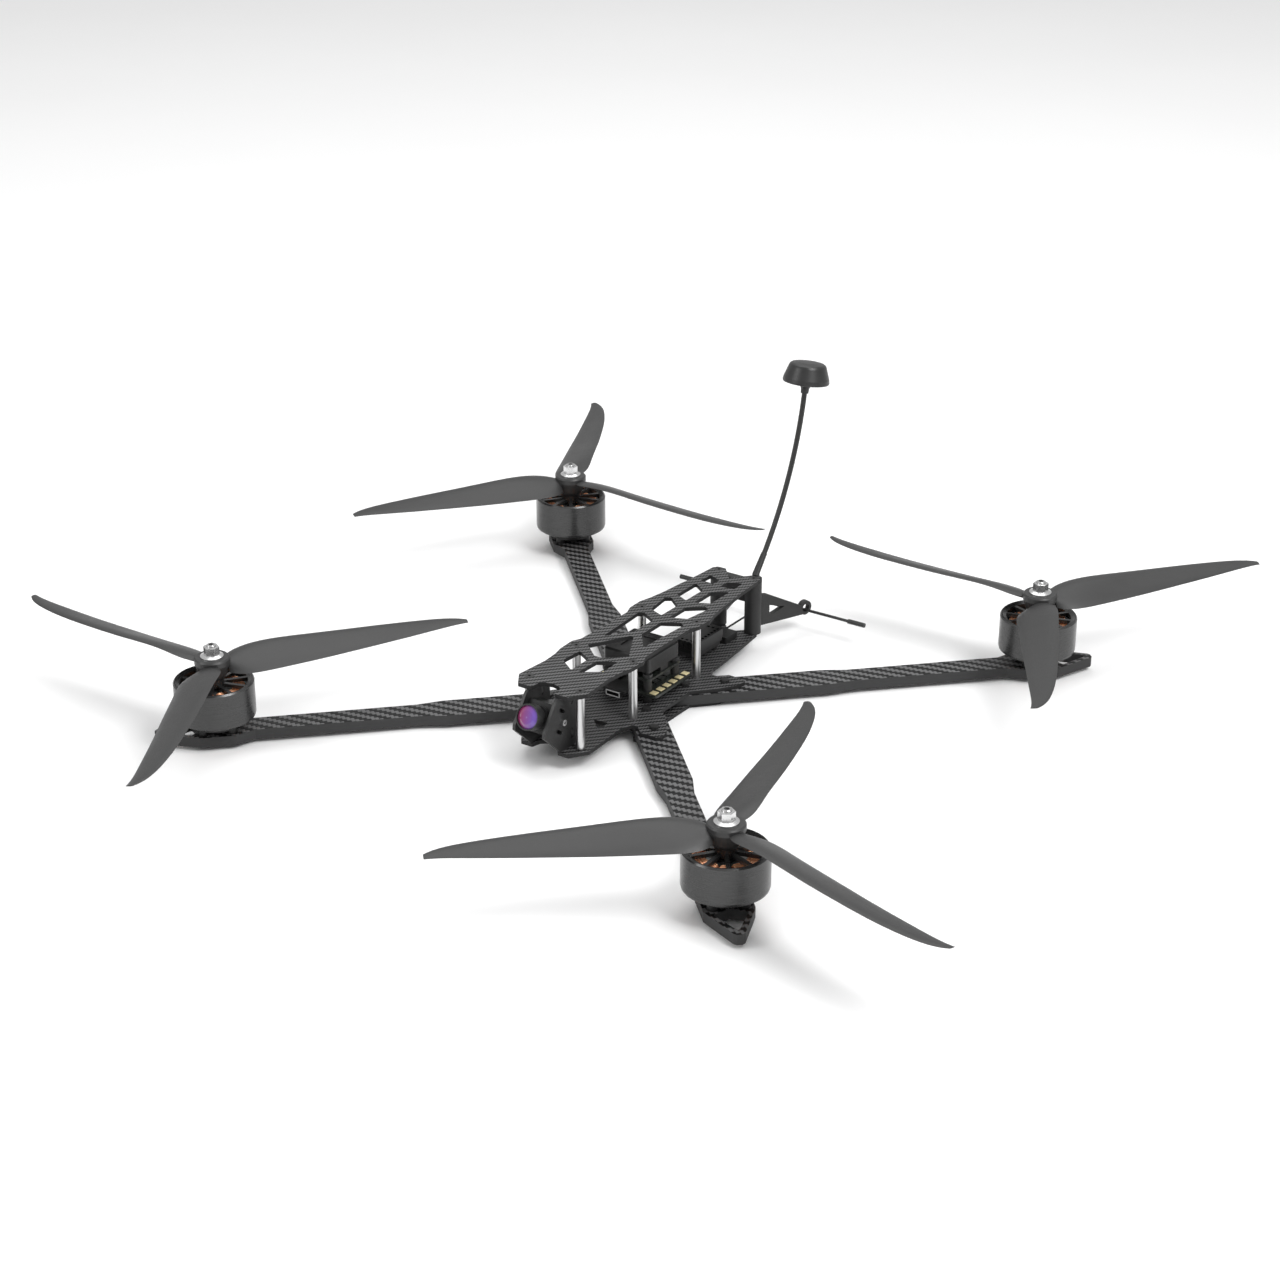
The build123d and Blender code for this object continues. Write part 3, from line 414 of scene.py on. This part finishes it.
def rounded_path(half_width, low, high, corner, steps=4):
    """A rounded rectangle as (across, height) pairs."""
    corner = min(corner, half_width * 0.95)
    spots = ((half_width - corner, high - corner, 0), (corner - half_width, high - corner, 90),
             (corner - half_width, low + corner, 180), (half_width - corner, low + corner, 270))
    path = []
    for x, z, first in spots:
        for k in range(steps + 1):
            a = math.radians(first + 90 * k / steps)
            path.append((x + corner * math.cos(a), z + corner * math.sin(a)))
    return path


tooth_count = 12
layers = 8
first_layer = 0.01215           # distance from the motor's axis to a coil's inner layer
layer_pitch = 0.00086
slot_gap = 0.00055              # between a coil and the middle of the slot beside it
stagger = 0.00035               # every second loop is shorter by this at its top and its bottom
coil_corner = 0.0016
least_half = 0.0025             # half the width of the narrowest loop
wire = 0.00042                  # radius
for place in places:
    centre = centres[place]
    low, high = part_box(f"windings_{place}")
    vertices, faces = [], []
    for tooth in range(tooth_count):
        turn = Matrix.Rotation(2 * math.pi * tooth / tooth_count, 4, "Z")
        for k in range(layers):
            r = first_layer + layer_pitch * k
            half = max(least_half, r * math.tan(math.pi / tooth_count) - slot_gap - wire)
            dip = stagger * ((k + tooth) % 2)
            path = [turn @ Vector((r, across, z)) for across, z in rounded_path(
                half, low.z + wire + dip, high.z - wire - dip, coil_corner)]
            path = [p + Vector((centre.x, centre.y, 0)) for p in path]
            tube_loop(vertices, faces, path, wire)
    mesh = bpy.data.meshes.new(f"wound_coils_{place}")
    mesh.from_pydata(vertices, [], faces)
    coils = make_piece(f"wound_coils_{place}", mesh, "copper", "airframe")
    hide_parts(f"windings_{place}")


def block_mesh(name, blocks, bevel):
    """Several bevelled blocks in one mesh; each block is (centre, size)."""
    total = bmesh.new()
    for centre, size in blocks:
        part = bmesh.new()
        bmesh.ops.create_cube(part, size=1.0)
        bmesh.ops.scale(part, vec=size, verts=part.verts)
        bmesh.ops.bevel(part, geom=list(part.edges), offset=min(bevel, min(size) * 0.3),
                        segments=2, affect="EDGES", profile=0.6)
        bmesh.ops.translate(part, vec=centre, verts=part.verts)
        block = bpy.data.meshes.new("block")
        part.to_mesh(block)
        total.from_mesh(block)
        bpy.data.meshes.remove(block)
        part.free()
    mesh = bpy.data.meshes.new(name)
    total.to_mesh(mesh)
    total.free()
    return mesh


# A row of solder pads along each side of the speed controller.
pads_in_row = 6
pad_size = (0.0044, 0.0044, 0.0006)
first_pad, pad_pitch, pad_row = 0.0123, 0.00704, 0.0212
pad_lift = 0.0002               # the middle of a pad above the board, so each is sunk a little
pad_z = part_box("esc_board")[0].z + board_thickness + pad_lift
pads = []
for side in (1, -1):
    for k in range(pads_in_row):
        pads.append((Vector((first_pad - pad_pitch * k, side * pad_row, pad_z)), pad_size))
make_piece("esc_pads", block_mesh("esc_pads", pads, 0.0002), "gold", "airframe")

# Small parts on the flight controller, spread in a spiral inside the cover's legs.
fc_low, fc_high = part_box("flight_controller")
fc_top = fc_low.z + board_thickness
stack_x = (fc_low.x + fc_high.x) / 2
golden_angle = 2.399963
spiral_start, spiral_growth, spiral_squash = 0.0052, 0.00205, 0.92
clear_half = 0.0125
small_bevel = 0.0001
chips, ceramics, greens = [], [], []
part_kinds = (
    (chips, (0.0022, 0.0018, 0.0008)),
    (ceramics, (0.0012, 0.0007, 0.0006)),
    (chips, (0.0030, 0.0026, 0.0009)),
    (greens, (0.0016, 0.0010, 0.0007)),
    (ceramics, (0.0010, 0.0016, 0.0006)),
)
for k in range(34):
    angle = golden_angle * k
    r = spiral_start + spiral_growth * math.sqrt(k)
    x, y = stack_x + r * math.cos(angle), r * math.sin(angle) * spiral_squash
    if abs(x - stack_x) > clear_half or abs(y) > clear_half:
        continue
    group, size = part_kinds[k % len(part_kinds)]
    group.append((Vector((x, y, fc_top + size[2] / 2)), size))
for name, blocks, finish in (("board_chips", chips, "chip"),
                             ("board_ceramics", ceramics, "ceramic"),
                             ("board_leds", greens, "green_part")):
    make_piece(name, block_mesh(name, blocks, small_bevel), finish, "airframe")

# Pale surround of the socket's opening.
socket_low, socket_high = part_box("front_socket")
lip_x = socket_high.x + 0.0002
socket_z = socket_low.z + 0.0018                # middle of the opening
lip_half_width, lip_half_height = 0.0049, 0.0015
lip_depth, lip_wall = 0.0005, 0.0006
lip_bar = (lip_depth, 2 * lip_half_width + lip_wall, lip_wall)
lip_end = (lip_depth, lip_wall, 2 * lip_half_height + lip_wall)
lip = [(Vector((lip_x, 0, socket_z + side * lip_half_height)), lip_bar) for side in (1, -1)]
lip += [(Vector((lip_x, side * lip_half_width, socket_z)), lip_end) for side in (1, -1)]
make_piece("socket_lip", block_mesh("socket_lip", lip, small_bevel), "pale_plastic", "airframe")


# ---- stage, light and camera -------------------------------------------------------------
floor_half = 6
floor_gap = 0.0004              # under the lowest face, so that the two don't coincide
floor_mesh = bpy.data.meshes.new("floor")
floor_mesh.from_pydata([(-floor_half, -floor_half, 0), (floor_half, -floor_half, 0),
                        (floor_half, floor_half, 0), (-floor_half, floor_half, 0)],
                       [], [(0, 1, 2, 3)])
floor = bpy.data.objects.new("floor", floor_mesh)
bpy.context.scene.collection.objects.link(floor)
floor.location.z = cad_low.z - floor_gap
floor_material, floor_tree, floor_shader = new_material("pale_floor")
floor_place = add_node(floor_tree, "ShaderNodeTexCoord").outputs["Object"]
mottle = noise(floor_tree, floor_place, 3.0, 3.0)
floor_tree.links.new(mix(floor_tree, mottle, (0.90, 0.90, 0.90, 1), (0.93, 0.93, 0.93, 1)),
                     floor_shader.inputs["Base Color"])
floor_shader.inputs["Roughness"].default_value = 0.8
floor_mesh.materials.append(floor_material)

world = bpy.data.worlds.new("studio")
world.use_nodes = True
backdrop = world.node_tree.nodes["Background"]
backdrop.inputs["Color"].default_value = (1.0, 1.0, 1.0, 1.0)
backdrop.inputs["Strength"].default_value = 0.62
bpy.context.scene.world = world

light_target = Vector((0, 0, 0.03))


def area_light(name, place, size, power):
    data = bpy.data.lights.new(name, "AREA")
    data.size = size
    data.energy = power
    lamp = bpy.data.objects.new(name, data)
    bpy.context.scene.collection.objects.link(lamp)
    lamp.location = place
    towards = light_target - Vector(place)
    lamp.rotation_euler = towards.to_track_quat("-Z", "Y").to_euler()


area_light("key", (0.2, 1.5, 1.9), 1.0, 34.0)
area_light("fill", (1.7, -1.1, 1.3), 0.8, 12.0)
area_light("top", (-0.6, -0.3, 2.2), 2.0, 22.0)

camera_place = (1.254563, 0.856060, 0.740019)
azimuth, elevation, roll = math.radians(34.247), math.radians(24.568), math.radians(0.132)
back = Vector((math.cos(azimuth) * math.cos(elevation), math.sin(azimuth) * math.cos(elevation),
               math.sin(elevation)))
level_right = Vector((-math.sin(azimuth), math.cos(azimuth), 0))
level_up = back.cross(level_right)
right = level_right * math.cos(roll) + level_up * math.sin(roll)
up = level_up * math.cos(roll) - level_right * math.sin(roll)
camera_data = bpy.data.cameras.new("camera")
camera_data.sensor_width = 36.0
camera_data.lens = 74.48
camera_data.clip_start = 0.01
camera_data.clip_end = 50.0
camera = bpy.data.objects.new("camera", camera_data)
bpy.context.scene.collection.objects.link(camera)
camera.matrix_world = Matrix((
    (right.x, up.x, back.x, camera_place[0]),
    (right.y, up.y, back.y, camera_place[1]),
    (right.z, up.z, back.z, camera_place[2]),
    (0, 0, 0, 1),
))
bpy.context.scene.camera = camera
bpy.context.scene.view_settings.view_transform = "Standard"
